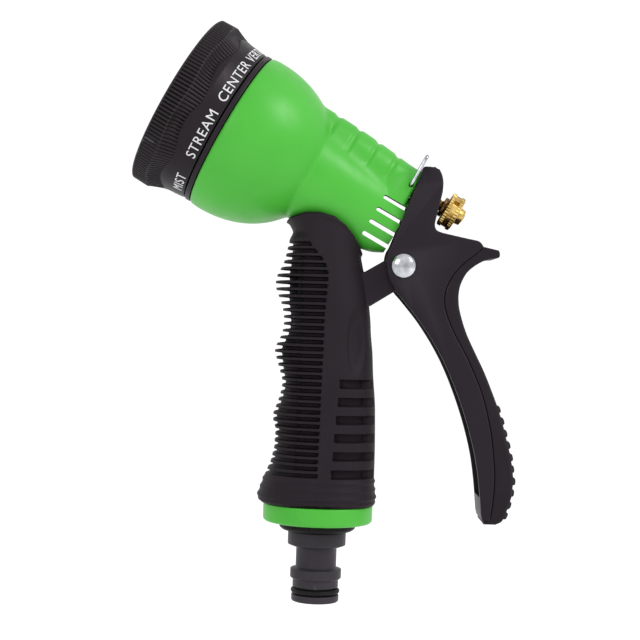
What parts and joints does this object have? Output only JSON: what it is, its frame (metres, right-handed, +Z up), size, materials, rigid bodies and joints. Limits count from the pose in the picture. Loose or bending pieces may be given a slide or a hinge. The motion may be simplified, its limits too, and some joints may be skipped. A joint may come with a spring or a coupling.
{
  "type": "hose spray nozzle",
  "caption": "Pistol hose nozzle with a turning pattern dial, rear palm trigger with lock clip, flow nut and quick-connect hose nipple.",
  "frame": {"origin": "centre of the hose nipple's end face, on the handle's axis", "axes": "+Z up the nipple and handle axis, -X the way the head sprays (its axis rises 28.6 degrees), +X the trigger side, Y across the width"},
  "size_m": [0.1297, 0.0602, 0.1913],
  "materials": {
    "green_plastic": "satin bright green moulded plastic",
    "black_plastic": "satin black moulded plastic",
    "soft_grip": "soft-touch matte black overmould",
    "seal_rubber": "smooth sealing rubber",
    "brass": "turned brass",
    "chrome": "bright plated steel",
    "steel": "stainless steel"
  },
  "bodies": {
    "body": {"body_shell": "green_plastic", "grip_sleeve": "soft_grip", "front_core": "black_plastic", "dial_base_ring": "black_plastic", "dial_screw": "steel", "screw_washer": "steel", "outlet_seal": "seal_rubber", "seal_spring": "steel", "detent_spring": "steel", "valve_seat": "brass", "valve_spring": "steel", "gland_oring": "seal_rubber", "stem_gland": "brass", "trigger_bracket": "black_plastic", "pivot_pin": "chrome", "rivet_washer": "chrome", "inlet_nipple": "black_plastic", "nipple_oring": "seal_rubber", "inlet_gasket": "seal_rubber", "filter_screen": "steel", "inlet_washer": "seal_rubber"},
    "dial": {"selector_dial": "black_plastic", "pattern_plate": "black_plastic", "mist_insert": "black_plastic", "cone_insert": "black_plastic"},
    "detent": {"detent_plunger": "steel"},
    "trigger": {"trigger_lever": "black_plastic", "palm_pad": "soft_grip"},
    "stem": {"valve_stem": "brass", "valve_poppet": "brass", "poppet_washer": "seal_rubber"},
    "collar": {"thrust_collar": "brass"},
    "nut": {"flow_nut": "brass"},
    "clip": {"lock_clip": "chrome"}
  },
  "joints": [
    {"name": "selector_turn", "type": "hinge", "parent": "body", "child": "dial", "pos_m": [-0.04697, 0, 0.16298], "axis": [0.878, 0, -0.4787], "continuous": true},
    {"name": "detent_click", "type": "slide", "parent": "body", "child": "detent", "axis": [0.878, 0, -0.4787], "range_m": [0, 0.0006], "stiffness_N_per_m": 400, "springref_m": -0.002, "deforming": ["detent_spring"]},
    {"name": "trigger_squeeze", "type": "hinge", "parent": "body", "child": "trigger", "pos_m": [0.0252, 0, 0.1121], "axis": [0, 1, 0], "range_deg": [0, 15], "stiffness_Nm_per_rad": 1.5, "springref_deg": -11.46},
    {"name": "stem_slide", "type": "slide", "parent": "body", "child": "stem", "axis": [0.878, 0, -0.4787], "range_m": [0, 0.0056], "deforming": ["valve_spring"]},
    {"name": "nut_travel", "type": "slide", "parent": "stem", "child": "collar", "axis": [0.878, 0, -0.4787], "range_m": [0, 0.0016]},
    {"name": "nut_turn", "type": "hinge", "parent": "collar", "child": "nut", "pos_m": [0.04051, 0, 0.13123], "axis": [0.878, 0, -0.4787], "range_deg": [0, 720]},
    {"name": "clip_swing", "type": "hinge", "parent": "body", "child": "clip", "pos_m": [0.02686, 0, 0.13879], "axis": [0, -1, 0], "range_deg": [0, 36]}
  ],
  "couplings": [
    {"joint": "stem_slide", "follows": "trigger_squeeze", "m_per_rad": 0.0207},
    {"joint": "nut_turn", "follows": "nut_travel", "rad_per_m": 7854}
  ]
}
